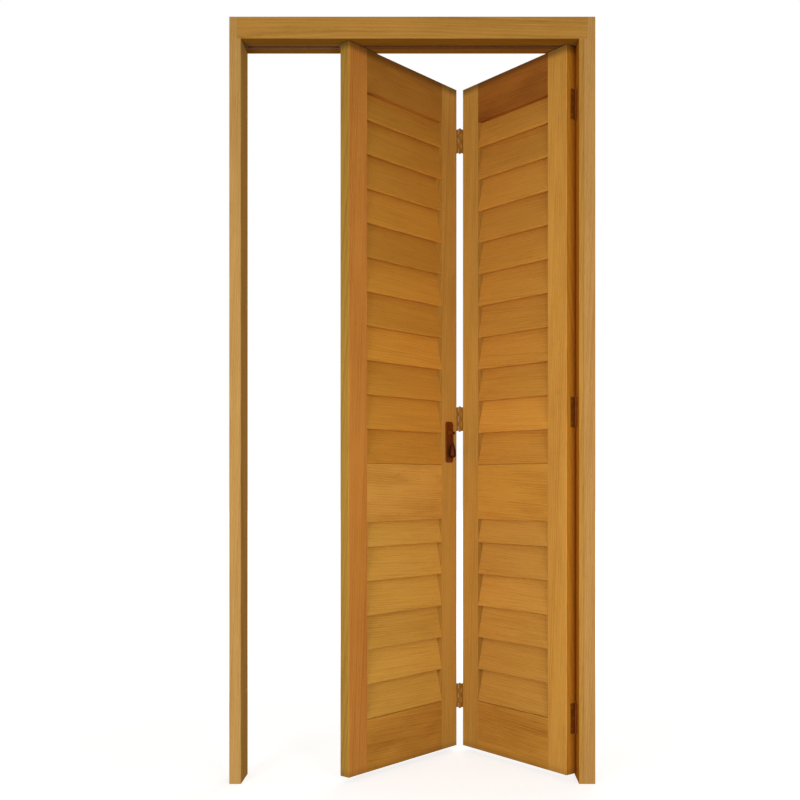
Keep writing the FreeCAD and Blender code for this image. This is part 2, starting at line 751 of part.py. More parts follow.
def bracket_plate_blank():
    """The flat strip of the bracket, flush with the far face of the leaf."""
    x0, x1 = GUIDE_PIN.x - BRACKET_BEFORE, GUIDE_PIN.x + BRACKET_AFTER
    return block(x0, x1, LEAF_FAR - BRACKET_WIDTH, LEAF_FAR, BRACKET_UNDERSIDE, BRACKET_TOP)


def bracket_screw_heads():
    y = LEAF_FAR - BRACKET_WIDTH / 2
    return [Vector(GUIDE_PIN.x + along, y, BRACKET_TOP) for along in BRACKET_SCREWS]


def hanger_bracket():
    """A plate let into the top of the lead leaf, with a tongue behind it for the bolt."""
    eye_foot = GUIDE_PIN + Vector(0, 0, BRACKET_UNDERSIDE)
    eye = rod(BRACKET_EYE, eye_foot, UP, BRACKET_THICK)
    x0, x1 = GUIDE_PIN.x - BRACKET_EYE, GUIDE_PIN.x + BRACKET_EYE
    neck = block(x0, x1, LEAF_FAR - 1, PIN_LINE, BRACKET_UNDERSIDE, BRACKET_TOP)
    inside = block(x0, x1, 0, LEAF_FAR, BRACKET_UNDERSIDE, BRACKET_TOP)
    plate = bracket_plate_blank().fuse([eye.cut(inside), neck])
    cutters = [rod(BOLT_RADIUS, eye_foot, UP, BRACKET_THICK)]
    for head in bracket_screw_heads():
        cutters.append(countersink(BRACKET_SCREW, head, DOWN, BRACKET_THICK))
    return plate.cut(cutters).removeSplitter()


def bracket_screws():
    heads = bracket_screw_heads()
    return Part.makeCompound([countersunk_screw(BRACKET_SCREW, head, DOWN) for head in heads])


# ---- drop pull ------------------------------------------------------------------------------

PULL_MIDDLE = Vector(LEAD_RIGHT - PULL_FROM_FOLD, LEAF_NEAR, PULL_LEVEL)
PIVOT_LEVEL = PULL_LEVEL + BACKPLATE_HEIGHT / 2 - PIVOT_DROP
PIVOT = Vector(PULL_MIDDLE.x, LEAF_NEAR - BACKPLATE_THICK - PIVOT_REACH, PIVOT_LEVEL)


def pull_screw_heads():
    rise = BACKPLATE_HEIGHT / 2 - PULL_SCREW_MARGIN
    face = LEAF_NEAR - BACKPLATE_THICK
    return [Vector(PULL_MIDDLE.x, face, PULL_LEVEL + side * rise) for side in (1, -1)]


def pull_backplate():
    """A rounded plate with two cheeks that carry the pivot of the pull."""
    half_width, half_height = BACKPLATE_WIDTH / 2, BACKPLATE_HEIGHT / 2
    front = LEAF_NEAR - BACKPLATE_THICK
    x = PULL_MIDDLE.x
    ends = (PULL_LEVEL - half_height, PULL_LEVEL + half_height)
    plate = block(x - half_width, x + half_width, front, LEAF_NEAR, *ends)
    plate = plate.makeFillet(BACKPLATE_ROUND, long_edges(plate, BACK, lambda middle: True))
    rim = [edge for edge in plate.Edges if edge.BoundBox.YMax < front + 0.01]
    plate = plate.makeChamfer(BACKPLATE_BEVEL, rim)
    for side in (1, -1):
        inner = x + side * (EYE_WIDTH / 2 + EYE_CLEAR)
        outer = inner + side * CHEEK_THICK
        half = CHEEK_HEIGHT / 2
        foot = block(inner, outer, front, PIVOT.y + CHEEK_RADIUS, PIVOT.z - half, PIVOT.z + half)
        arm_half = CHEEK_RADIUS
        arm = block(inner, outer, front, PIVOT.y, PIVOT.z - arm_half, PIVOT.z + arm_half)
        nose = rod(CHEEK_RADIUS, Vector(min(inner, outer), PIVOT.y, PIVOT.z), RIGHT, CHEEK_THICK)
        plate = plate.fuse([foot, arm, nose])
    reach = EYE_WIDTH + 2 * CHEEK_THICK
    cutters = [rod(PIVOT_RADIUS, PIVOT - Vector(reach, 0, 0), RIGHT, 2 * reach)]
    for head in pull_screw_heads():
        cutters.append(countersink(PULL_SCREW, head, BACK, BACKPLATE_THICK))
    return plate.cut(cutters).removeSplitter()


def pull_pivot_pin():
    half = EYE_WIDTH / 2 + EYE_CLEAR + CHEEK_THICK
    outline = [
        (0, -half - PIVOT_HEAD),
        (PIVOT_HEAD_RADIUS, -half - PIVOT_HEAD),
        (PIVOT_HEAD_RADIUS, -half),
        (PIVOT_RADIUS, -half),
        (PIVOT_RADIUS, half),
        (PIVOT_HEAD_RADIUS, half),
        (PIVOT_HEAD_RADIUS, half + PIVOT_HEAD),
        (0, half + PIVOT_HEAD),
    ]
    return turned(outline, PIVOT, RIGHT)


def drop_pull():
    """A teardrop on a slim neck, turned from bar, with an eye on the pivot."""
    eye = rod(EYE_RADIUS, PIVOT - Vector(EYE_WIDTH / 2, 0, 0), RIGHT, EYE_WIDTH)
    rise = DROP_LENGTH - DROP_RADIUS - NECK_LENGTH     # from the widest place up to the neck
    swell = DROP_RADIUS - NECK_RADIUS
    flank = (rise**2 + swell**2) / (2 * swell)         # radius of the flank, upright at its foot
    half_up = DROP_RADIUS - flank + math.sqrt(flank**2 - (rise / 2) ** 2)
    round_off = DROP_RADIUS * math.sqrt(0.5)
    widest = NECK_LENGTH + rise
    top = Vector(0, 0, 0)
    shoulder = Vector(NECK_RADIUS, 0, 0)
    neck_end = Vector(NECK_RADIUS, 0, -NECK_LENGTH)
    flank_middle = Vector(half_up, 0, -NECK_LENGTH - rise / 2)
    belly = Vector(DROP_RADIUS, 0, -widest)
    ball_middle = Vector(round_off, 0, -widest - round_off)
    tip = Vector(0, 0, -DROP_LENGTH)
    outline = [
        Part.makeLine(top, shoulder),
        Part.makeLine(shoulder, neck_end),
        Part.Arc(neck_end, flank_middle, belly).toShape(),
        Part.Arc(belly, ball_middle, tip).toShape(),
        Part.makeLine(tip, top),
    ]
    drop = Part.Face(Part.Wire(outline)).revolve(top, UP, 360)
    drop.translate(PIVOT)
    bore = rod(PIVOT_RADIUS + PIVOT_CLEAR, PIVOT - Vector(EYE_WIDTH, 0, 0), RIGHT, 2 * EYE_WIDTH)
    return eye.fuse(drop).cut(bore).removeSplitter()


def pull_screws():
    heads = pull_screw_heads()
    return Part.makeCompound([countersunk_screw(PULL_SCREW, head, BACK) for head in heads])


# ---- the whole door -------------------------------------------------------------------------


def export(name, shape, place):
    place(shape).exportStep("parts/" + name + ".step")


def build_frame():
    screws = frame_screws()
    hinge_screws = Part.makeCompound(all_screws(JAMB_HINGES, 1))
    packing_screws = packer_screws()
    rail_screws = track_screws()
    fixings = fixing_holes(PACKER_FACE, 1)
    packer = block(PACKER_FACE, JAMB_FACE, 0, FRAME_DEPTH, 0, HEAD_UNDERSIDE)
    notches = [hinge.notch(1) for hinge in JAMB_HINGES.values()]
    packer = packer.cut(all_seats(JAMB_HINGES, 1) + notches + fixings)
    packer = packer.cut([hinge_screws, packing_screws])
    export("head_jamb", head_blank().cut([track_groove(), screws, rail_screws]), on_frame)
    export("strike_jamb", jamb(-1).cut([screws] + fixing_holes(STRIKE_FACE, -1)), on_frame)
    hinge_jamb = jamb(1).cut([screws, hinge_screws, packing_screws] + fixings)
    export("hinge_jamb", hinge_jamb, on_frame)
    export("hinge_packer", packer, on_frame)
    export("frame_screws", screws, on_frame)
    export("packer_screws", packing_screws, on_frame)
    export("frame_hinge_screws", hinge_screws, on_frame)
    export("top_track", top_track().cut(rail_screws), on_frame)
    export("track_screws", rail_screws, on_frame)
    export("track_stops", track_stops(), on_frame)


def build_hung_leaf():
    pieces = leaf(HUNG_LEFT, HUNG_RIGHT, "fold_stile", "jamb_stile")
    jamb_screws = all_screws(JAMB_HINGES, -1)
    fold_screws = all_screws(FOLD_HINGES, 1)
    pieces["jamb_stile"] = pieces["jamb_stile"].cut(all_seats(JAMB_HINGES, -1) + jamb_screws)
    pieces["fold_stile"] = pieces["fold_stile"].cut(all_seats(FOLD_HINGES, 1) + fold_screws)
    pieces["hinge_screws"] = Part.makeCompound(jamb_screws + fold_screws)
    for name, shape in pieces.items():
        export("hung_leaf_" + name, shape, on_hung_leaf)


def build_lead_leaf():
    pieces = leaf(LEAD_LEFT, LEAD_RIGHT, "lead_stile", "fold_stile")
    fold_screws = all_screws(FOLD_HINGES, -1)
    let_in = [bracket_plate_blank(), bracket_screws()]
    pieces["lead_stile"] = pieces["lead_stile"].cut(let_in)
    pieces["top_rail"] = pieces["top_rail"].cut(let_in)
    edge_cuts = all_seats(FOLD_HINGES, -1) + fold_screws + [pull_screws()]
    pieces["fold_stile"] = pieces["fold_stile"].cut(edge_cuts)
    pieces["hinge_screws"] = Part.makeCompound(fold_screws)
    for name, shape in pieces.items():
        export("lead_leaf_" + name, shape, on_lead_leaf)
    export("hanger_bracket", hanger_bracket(), on_lead_leaf)
    export("bracket_screws", bracket_screws(), on_lead_leaf)
    export("hanger_bolt", hanger_bolt(), on_lead_leaf)
    export("hanger_nut", hanger_nut(), on_lead_leaf)
    export("pull_backplate", pull_backplate(), on_lead_leaf)
    export("pull_pivot_pin", pull_pivot_pin(), on_lead_leaf)
    export("pull_screws", pull_screws(), on_lead_leaf)
    export("drop_pull", drop_pull(), on_lead_leaf)


def build_hinges():
    for name, hinge in JAMB_HINGES.items():
        export("jamb_hinge_" + name + "_frame_plate", hinge.plate(1, 0), on_frame)
        export("jamb_hinge_" + name + "_leaf_plate", hinge.plate(-1, 1), on_hung_leaf)
        export("jamb_hinge_" + name + "_pin", hinge.loose_pin(), on_frame)
    for name, hinge in FOLD_HINGES.items():
        export("fold_hinge_" + name + "_hung_plate", hinge.plate(1, 0), on_hung_leaf)
        export("fold_hinge_" + name + "_lead_plate", hinge.plate(-1, 1), on_lead_leaf)
        export("fold_hinge_" + name + "_pin", hinge.loose_pin(), on_hung_leaf)


def build_trolley():
    export("trolley_body", trolley_body(), on_trolley)
    export("trolley_axles", trolley_axles(), on_trolley)
    for x_name, x_side in (("left", -1), ("right", 1)):
        for y_name, y_side in (("front", -1), ("back", 1)):
            wheel = trolley_wheel(x_side, y_side)
            export("trolley_wheel_" + x_name + "_" + y_name, wheel, on_trolley)


build_frame()
build_hung_leaf()
build_lead_leaf()
build_hinges()
build_trolley()
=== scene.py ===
# %% [markdown]
# # A louvred bifold closet door
#
# The real door is joinery: two narrow leaves of stiles, rails and slanted slats, folded like a
# book, in a plain wooden frame.  One leaf hangs on the right jamb, and the other follows a
# trolley in the head.  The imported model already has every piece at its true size, so this
# lesson is about what the eye adds: varnished wood with its grain the right way round on each
# board, rounded slats, cross-headed screws and dull old bronze.

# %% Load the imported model
import json
import math
import random

import bmesh
import bpy
from mathutils import Matrix, Vector


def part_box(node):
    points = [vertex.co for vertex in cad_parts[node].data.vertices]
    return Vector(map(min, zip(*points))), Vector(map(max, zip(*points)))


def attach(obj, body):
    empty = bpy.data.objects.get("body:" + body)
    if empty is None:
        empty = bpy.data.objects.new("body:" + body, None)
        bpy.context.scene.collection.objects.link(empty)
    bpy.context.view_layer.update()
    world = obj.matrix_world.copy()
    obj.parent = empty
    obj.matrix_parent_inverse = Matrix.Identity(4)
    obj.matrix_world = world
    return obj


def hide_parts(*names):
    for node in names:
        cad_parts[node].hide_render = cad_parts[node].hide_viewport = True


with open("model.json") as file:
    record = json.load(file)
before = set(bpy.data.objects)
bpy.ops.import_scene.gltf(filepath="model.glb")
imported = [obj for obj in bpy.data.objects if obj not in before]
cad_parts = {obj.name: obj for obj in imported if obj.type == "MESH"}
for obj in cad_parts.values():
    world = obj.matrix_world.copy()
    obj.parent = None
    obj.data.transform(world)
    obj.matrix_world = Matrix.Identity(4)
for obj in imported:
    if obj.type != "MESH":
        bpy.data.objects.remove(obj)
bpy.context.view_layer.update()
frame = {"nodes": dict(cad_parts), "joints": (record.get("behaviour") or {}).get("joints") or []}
nodes = frame["nodes"]
joints = {joint["name"]: joint for joint in frame["joints"]}
print("pieces in the packed model:", len(nodes))

# %% [markdown]
# ## Where the leaves stand
#
# A board is easiest to think of with the door shut, when left, back and up are plain X, Y and
# Z.  So each leaf gets one matrix that carries a closed leaf to where it rests, and pieces are
# made closed and then carried.  Both matrices come from the two pins and from the one angle
# that the jamb hinge still has to turn before the door is shut.

# %% One matrix for each leaf
FOLD = math.radians(joints["jamb_hinge"]["range_deg"][1])
jamb_pin = Vector(joints["jamb_hinge"]["pos_m"])
fold_pin = Vector(joints["fold_hinge"]["pos_m"])


def turn(angle, axis="Z"):
    return Matrix.Rotation(angle, 4, axis)


fold_pin_closed = jamb_pin + turn(FOLD) @ (fold_pin - jamb_pin)
LEAF_TO_REST = {
    "frame": Matrix.Identity(4),
    "hung_leaf": Matrix.Translation(jamb_pin) @ turn(-FOLD) @ Matrix.Translation(-jamb_pin),
    "lead_leaf": Matrix.Translation(fold_pin) @ turn(FOLD) @ Matrix.Translation(-fold_pin_closed),
}


def span(points):
    """Lowest and highest corner of some points."""
    low = Vector([min(point[k] for point in points) for k in range(3)])
    high = Vector([max(point[k] for point in points) for k in range(3)])
    return low, high


def closed_box(node, body):
    """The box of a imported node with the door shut, so that it lies along the axes."""
    to_closed = LEAF_TO_REST[body].inverted()
    return span([to_closed @ vertex.co for vertex in nodes[node].data.vertices])


leaf_low, leaf_high = closed_box("hung_leaf_jamb_stile", "hung_leaf")
print("leaf thickness in mm:", round(1000 * (leaf_high.y - leaf_low.y), 1))

# %% [markdown]
# ## The camera
#
# It stands three metres off, level with the middle rail, and looks straight back.  A level
# camera keeps the jambs upright, and the lens is shifted instead of tilted to bring the head
# into the picture, as is done for pictures of buildings.

# %% Camera
CAMERA_PLACE = (0.086, -3.0, 0.8546)
CAMERA_LENS = 47.52
CAMERA_SHIFT = (-0.0532, 0.104)

camera_data = bpy.data.cameras.new("camera")
camera_data.sensor_width = 36.0
camera_data.lens = CAMERA_LENS
camera_data.shift_x, camera_data.shift_y = CAMERA_SHIFT
camera = bpy.data.objects.new("camera", camera_data)
camera.location = CAMERA_PLACE
camera.rotation_euler = (math.pi / 2, 0, 0)
bpy.context.scene.collection.objects.link(camera)
bpy.context.scene.camera = camera
bpy.context.scene.view_settings.view_transform = "Standard"
print("camera at", CAMERA_PLACE, "with a lens of", CAMERA_LENS)

# %% [markdown]
# ## Small helpers for shader nodes
#
# A material is a graph, and a graph written out link by link is hard to read.  These helpers
# let a node be made, set and fed in one call: an input may be given a plain value or the
# output of another node.

# %% Colours and nodes


def srgb(red, green, blue):
    """A colour as it looks on screen, 0 to 255, turned into the linear values of a shader."""
    def linear(value):
        value /= 255
        return value / 12.92 if value <= 0.04045 else ((value + 0.055) / 1.055) ** 2.4
    return (linear(red), linear(green), linear(blue), 1.0)


def feed(tree, socket, value):
    """Gives an input a plain value, or links the output of another node to it."""
    if isinstance(value, bpy.types.NodeSocket):
        tree.links.new(value, socket)
    elif value is not None:
        socket.default_value = value


def node(tree, kind, values=None, **settings):
    """A new node with its settings made and its inputs fed, by name or by number."""
    made = tree.nodes.new("ShaderNode" + kind)
    for setting, value in settings.items():
        setattr(made, setting, value)
    for key, value in (values or {}).items():
        feed(tree, made.inputs[key], value)
    return made


# %% Sums, noise and mixes


def maths(tree, operation, first, second=None, clamp=False):
    values = {0: first, 1: second}
    return node(tree, "Math", values, operation=operation, use_clamp=clamp).outputs[0]


def plus(tree, base, part, share, clamp=False):
    """A value and a share of another one, added up."""
    return maths(tree, "ADD", base, maths(tree, "MULTIPLY", part, share), clamp=clamp)


def ramp(tree, value, low, high, start=0.0, end=1.0, **settings):
    """Goes from start to end while a value goes from low to high, and stays there beyond."""
    values = {"Value": value, "From Min": low, "From Max": high, "To Min": start, "To Max": end}
    return node(tree, "MapRange", values, **settings).outputs[0]


def vector_maths(tree, operation, first, second):
    return node(tree, "VectorMath", {0: first, 1: second}, operation=operation).outputs[0]


def between(tree, factor, first, second):
    """A colour part of the way from the first to the second."""
    values = {"Factor": factor, "A": first, "B": second}
    mix = tree.nodes.new("ShaderNodeMix")
    mix.data_type = "RGBA"
    for key, value in values.items():
        matching = [s for s in mix.inputs if s.name == key and s.enabled]
        feed(tree, matching[0], value)
    return [s for s in mix.outputs if s.enabled][0]


def noise(tree, vector, stretch, detail=2.0, roughness=0.5):
    """Soft noise from 0 to 1, with so many waves in a metre along each axis."""
    scaled = vector_maths(tree, "MULTIPLY", vector, stretch)
    values = {"Vector": scaled, "Scale": 1.0, "Detail": detail, "Roughness": roughness}
    return node(tree, "TexNoise", values).outputs[0]


# %% Groups and materials


def new_group(name, inputs, outputs):
    """An empty node group with named sockets, and its two end nodes."""
    tree = bpy.data.node_groups.new(name, "ShaderNodeTree")
    for label, kind, default in inputs:
        socket = tree.interface.new_socket(label, in_out="INPUT", socket_type="NodeSocket" + kind)
        if default is not None:
            socket.default_value = default
    for label, kind in outputs:
        tree.interface.new_socket(label, in_out="OUTPUT", socket_type="NodeSocket" + kind)
    return tree, tree.nodes.new("NodeGroupInput").outputs, tree.nodes.new("NodeGroupOutput")


def use_group(tree, group, values):
    """Puts a node group to work in a material, and returns its outputs."""
    made = tree.nodes.new("ShaderNodeGroup")
    made.node_tree = group
    for key, value in values.items():
        feed(tree, made.inputs[key], value)
    return made.outputs


def new_material(name):
    """A material with its graph and the inputs of its shader."""
    material = bpy.data.materials.new(name)
    material.use_nodes = True
    tree = material.node_tree
    return material, tree, tree.nodes["Principled BSDF"].inputs


# %% [markdown]
# ## Sawn wood
#
# A board is cut from a log, so its figure is the log's growth rings seen where the saw passed
# through them.  The group below works in the same way: it measures how far each point lies
# from the heart of the tree, which runs almost along the board, and turns that distance into
# rings.  Because the heart is a little out of line, the rings meet a face in long arches, and
# because no two years have the same weather, some rings are wide and dark and others faint.
# Fine streaks along the grain and short dark pores lie over them, and a face that looks along
# the grain is end grain, which drinks more varnish and goes darker and duller.  The sides of some
# boards are multiplied by a darker tint, which is painted shade: on the head's underside, the
# reveals of the jambs and packer, and the edges of the stiles.
# The last centimetres at the top and the foot of a leaf are painted darker: painted shade under
# the head and near the floor, with some grime.
#
# Every wooden piece uses this one group, each with its own colours and its own stretch of log.

# %% Sizes and strengths in the wood
EVEN = (1, 1, 1, 1)           # a tint that changes nothing
HEART_DEPTH = 0.055           # metres from the middle of the board to the heart of the tree
HEART_SLANT = (0.02, 0.045)   # sideways and deeper for each metre along the board
HEART_SWAY = 0.03             # metres that the heart wanders, from one side to the other
WAVES = {                     # in a metre along the grain, and in a metre across it both ways
    "sway": (1.3, 5.0, 5.0),
    "ripple": (9.0, 40.0, 40.0),
    "fibre": (7.0, 330.0, 330.0),
    "pore": (45.0, 900.0, 900.0),
    "cloud": (0.9, 9.0, 9.0),
    "blotch": (6.0, 24.0, 24.0),
}
WEATHER_WAVES = (0.4, 1.0, 1.0)     # in a year of growth; only the first is used
WEATHER_SHIFT = 2.6           # rings that good and bad years move the later ones by
RIPPLE = 0.5                  # rings that a ring wavers by
LATE_RISE = 2.5               # the dark late wood comes on slowly and ends quickly
LATE_GAIN = 5.5               # brings the darkest of it to about 0.7
HARSH_YEARS = (0.32, 0.68, 0.2, 1.2)    # weather from and to, late wood from and to
FIBRE_TONE = 0.7              # how much the fibres darken and lighten
PORE_TONE = 0.35              # how much a pore darkens
PORES = (0.62, 0.72)          # only the peaks of the noise are pores
BLOTCH_TONE = 0.6             # how much the blotches tell beside the clouds
CLEAR = 0.72                  # clouds and blotches above this darken, and below it lighten
SQUARE_ON = (0.75, 0.9)       # how much a face has to look one way to count as that face
END_GRAIN = {"Value": 0.62, "Saturation": 1.1}
# The colour painted at the ends of a leaf: painted shade with some grime.
END_SHADE_AND_GRIME = srgb(38, 20, 8)
SHADE_AND_GRIME_START = 0.004           # metres from the end of a leaf to where the painted shade and grime begin to fade
TOP_SHADE_AND_GRIME = (0.028, 0.58)     # metres from the end to where it is gone, and its strength
FOOT_SHADE_AND_GRIME = (0.024, 0.2)
SHADE_AND_GRIME_RAGGED = 0.012          # metres that its edge wanders
ROUGH = 0.7                   # the varnish itself
ROUGH_FIBRE = 0.14            # and what the fibres and the end grain add to it
ROUGH_END = 0.2
LATE_RELIEF = 0.35            # heights beside the depth of a pore, which is 1
FIBRE_RELIEF = 0.6

# %% The empty wood group
wood, given, result = new_group(
    "sawn_wood",
    [
        ("Vector", "Vector", None),
        ("Facing", "Vector", None),
        ("Pale", "Color", srgb(200, 140, 70)),
        ("Dark", "Color", srgb(150, 90, 35)),
        ("Ring Gap", "Float", 0.007),
        ("Figure", "Float", 0.5),
        ("Patches", "Float", 0.8),
        ("Side Shade", "Color", EVEN),
        ("Level", "Float", None),
        ("Foot", "Float", -1.0),
        ("Top", "Float", 10.0),
    ],
    [("Color", "Color"), ("Roughness", "Float"), ("Height", "Float")],
)


def log_noise(kind, detail=2.0):
    """One of the kinds of noise that fill the log."""
    return noise(wood, given["Vector"], WAVES[kind], detail=detail)


# %% Rings of early and late wood
along, across, deep = node(wood, "SeparateXYZ", {0: given["Vector"]}).outputs
sway = maths(wood, "SUBTRACT", log_noise("sway"), 0.5)
side = plus(wood, plus(wood, across, along, HEART_SLANT[0]), sway, HEART_SWAY)
depth = plus(wood, maths(wood, "ADD", deep, HEART_DEPTH), along, HEART_SLANT[1])
squares = [maths(wood, "POWER", leg, 2.0) for leg in (side, depth)]
heart = maths(wood, "SQRT", maths(wood, "ADD", *squares))
years = maths(wood, "DIVIDE", heart, given["Ring Gap"])
weather = noise(wood, node(wood, "CombineXYZ", {0: years}).outputs[0], WEATHER_WAVES)
ripple = maths(wood, "SUBTRACT", log_noise("ripple"), 0.5)
ring = plus(wood, years, weather, WEATHER_SHIFT)
ring = maths(wood, "FRACT", plus(wood, ring, ripple, RIPPLE))
rise = maths(wood, "POWER", ring, LATE_RISE)
late = maths(wood, "MULTIPLY", rise, maths(wood, "SUBTRACT", 1.0, ring))
late = maths(wood, "MULTIPLY", late, LATE_GAIN, clamp=True)
late = maths(wood, "MULTIPLY", late, ramp(wood, weather, *HARSH_YEARS))
print("nodes for the rings:", len(wood.nodes))

# %% Fibres, pores and blotches
fibre = log_noise("fibre", detail=3.0)
pore = ramp(wood, log_noise("pore", detail=1.0), *PORES)
blotch = log_noise("blotch")
cloud = plus(wood, log_noise("cloud"), blotch, BLOTCH_TONE)
tone = maths(wood, "MULTIPLY", late, given["Figure"])
tone = plus(wood, tone, maths(wood, "SUBTRACT", fibre, 0.5), FIBRE_TONE)
tone = plus(wood, tone, maths(wood, "SUBTRACT", cloud, CLEAR), given["Patches"])
tone = plus(wood, tone, pore, PORE_TONE, clamp=True)
print("nodes with the fibres:", len(wood.nodes))

# %% Stain, shaded sides, end grain, and painted shade with grime at the leaf ends
end_grain, _, side_face = [
    ramp(wood, maths(wood, "ABSOLUTE", part), *SQUARE_ON)
    for part in node(wood, "SeparateXYZ", {0: given["Facing"]}).outputs
]
colour = between(wood, tone, given["Pale"], given["Dark"])
# painted shade: the sides of a board are multiplied by its side shade tint
tinted = between(wood, side_face, EVEN, given["Side Shade"])
colour = vector_maths(wood, "MULTIPLY", colour, tinted)
shaded = node(wood, "HueSaturation", END_GRAIN | {"Color": colour}).outputs[0]
colour = between(wood, end_grain, colour, shaded)
to_top = maths(wood, "SUBTRACT", given["Top"], given["Level"])
to_foot = maths(wood, "SUBTRACT", given["Level"], given["Foot"])
uneven = maths(wood, "SUBTRACT", blotch, 0.5)
# painted shade under the head and near the floor, with grime, darkens the ends of a leaf
for distance, (reach, strength) in ((to_top, TOP_SHADE_AND_GRIME), (to_foot, FOOT_SHADE_AND_GRIME)):
    ragged = plus(wood, distance, uneven, SHADE_AND_GRIME_RAGGED)
    shade_and_grime = ramp(
        wood, ragged, SHADE_AND_GRIME_START, reach, strength, 0.0, interpolation_type="SMOOTHSTEP"
    )
    colour = between(wood, shade_and_grime, colour, END_SHADE_AND_GRIME)

# %% What the wood group puts out
feed(wood, result.inputs["Color"], colour)
gloss = plus(wood, plus(wood, ROUGH, fibre, ROUGH_FIBRE), end_grain, ROUGH_END)
feed(wood, result.inputs["Roughness"], gloss)
relief = maths(wood, "SUBTRACT", maths(wood, "MULTIPLY", late, LATE_RELIEF), pore)
feed(wood, result.inputs["Height"], plus(wood, relief, fibre, FIBRE_RELIEF))
print("nodes in the wood group:", len(wood.nodes))

# %% [markdown]
# ## A material for each board
#
# The grain of a stile runs up the door and that of a rail runs across it, and no two boards
# come from the same place in the tree.  So each board has a material of its own: a Mapping
# node turns the pattern until its first axis lies along the grain, and moves it until its
# origin is in the middle of the board, some way along a log that no other board uses.  Nor do
# two boards take a stain alike, so the stains have names, and each board says which it took.

# %% The varnish of one board
UPRIGHT = turn(math.pi / 2, "Y")      # carries up to the first axis, for boards that stand
LEVEL = Matrix.Identity(4)
LOG_STEP = 3.7                        # metres along the log from one board to the next
LEAF_SHINE = 0.06                     # the leaves are rubbed smooth between coats
FRAME_SHINE = 0.0                     # and the frame is not
GRAIN_RELIEF = 0.0006                 # metres
RAIL_PATCHES = 1.5                    # the rails are sawn wide and take the stain in patches


def varnished(name, colour_from, shine):
    """A satin varnish over a colour, roughness and height that a function puts in the tree."""
    material, tree, surface = new_material(name)
    colour, roughness, height = colour_from(tree)
    feed(tree, surface["Base Color"], colour)
    feed(tree, surface["Roughness"], roughness)
    values = {"Strength": 0.25, "Distance": GRAIN_RELIEF, "Height": height}
    feed(tree, surface["Normal"], node(tree, "Bump", values).outputs[0])
    surface["Specular IOR Level"].default_value = shine
    return material


def grain_vectors(tree, grain, middle, log):
    """The place and the facing of a point, both with their first axis along the grain."""
    source = node(tree, "TexCoord").outputs
    rotation = grain.to_euler("XYZ")
    shift = Vector((log * LOG_STEP, 0, 0)) - grain @ middle
    place = node(
        tree, "Mapping", {"Vector": source["Object"], "Location": shift, "Rotation": rotation}
    )
    facing = node(
        tree,
        "Mapping",
        {"Vector": source["Normal"], "Rotation": rotation},
        vector_type="VECTOR",
    )
    return place.outputs[0], facing.outputs[0]


def board_material(name, body, grain, middle, log, stain, side_shade):
    """Varnished wood for one board, with its grain turned as the leaf is."""
    turned = grain @ LEAF_TO_REST[body].to_3x3().inverted().to_4x4()

    def colour_from(tree):
        place, facing = grain_vectors(tree, turned, middle, log)
        values = {
            "Vector": place,
            "Facing": facing,
            "Pale": stain[0],
            "Dark": stain[1],
            "Side Shade": side_shade,
        }
        if body != "frame":
            level = node(tree, "SeparateXYZ", {0: node(tree, "TexCoord").outputs["Object"]})
            values |= {"Level": level.outputs[2], "Foot": leaf_low.z, "Top": leaf_high.z}
            if grain == LEVEL:
                values["Patches"] = RAIL_PATCHES
        return use_group(tree, wood, values)

    return varnished(name, colour_from, FRAME_SHINE if body == "frame" else LEAF_SHINE)


# %% A stain for each board


def dress(node_name, material):
    """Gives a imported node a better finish; its shape stays as it is."""
    for slot in nodes[node_name].material_slots:
        slot.material = material


def middle_of(node_name):
    low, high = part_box(node_name)
    return (low + high) / 2


STAINS = {                    # what the pale and the dark wood of a board become
    "straw": (srgb(200, 156, 90), srgb(164, 115, 53)),
    "wheat": (srgb(197, 149, 84), srgb(160, 109, 48)),
    "amber": (srgb(195, 143, 67), srgb(152, 102, 38)),
    "honey": (srgb(208, 148, 60), srgb(160, 100, 31)),
    "light honey": (srgb(218, 160, 72), srgb(173, 113, 41)),
    "olive": (srgb(204, 152, 69), srgb(156, 104, 38)),
    "russet": (srgb(208, 139, 61), srgb(164, 93, 32)),
    "brown": (srgb(179, 120, 45), srgb(134, 81, 22)),
    "red brown": (srgb(170, 105, 38), srgb(125, 67, 20)),
}

# Painted shade: the sides of these boards (the head's underside, the reveals and the stile edges)
# are darkened to stand for the shade on them.
SIDE_SHADE_TINTS = {                # what the red, green and blue of a board's sides are multiplied by
    "head_jamb": (0.54, 0.48, 0.27, 1),
    "strike_jamb": (0.81, 0.75, 0.57, 1),
    "hinge_packer": (0.96, 0.72, 0.3, 1),
    "hung_leaf_jamb_stile": (0.82, 0.7, 0.34, 1),
    "hung_leaf_fold_stile": (0.74, 0.7, 0.6, 1),
    "lead_leaf_fold_stile": (0.74, 0.7, 0.6, 1),
    "lead_leaf_lead_stile": (0.76, 1.07, 0.96, 1),
}

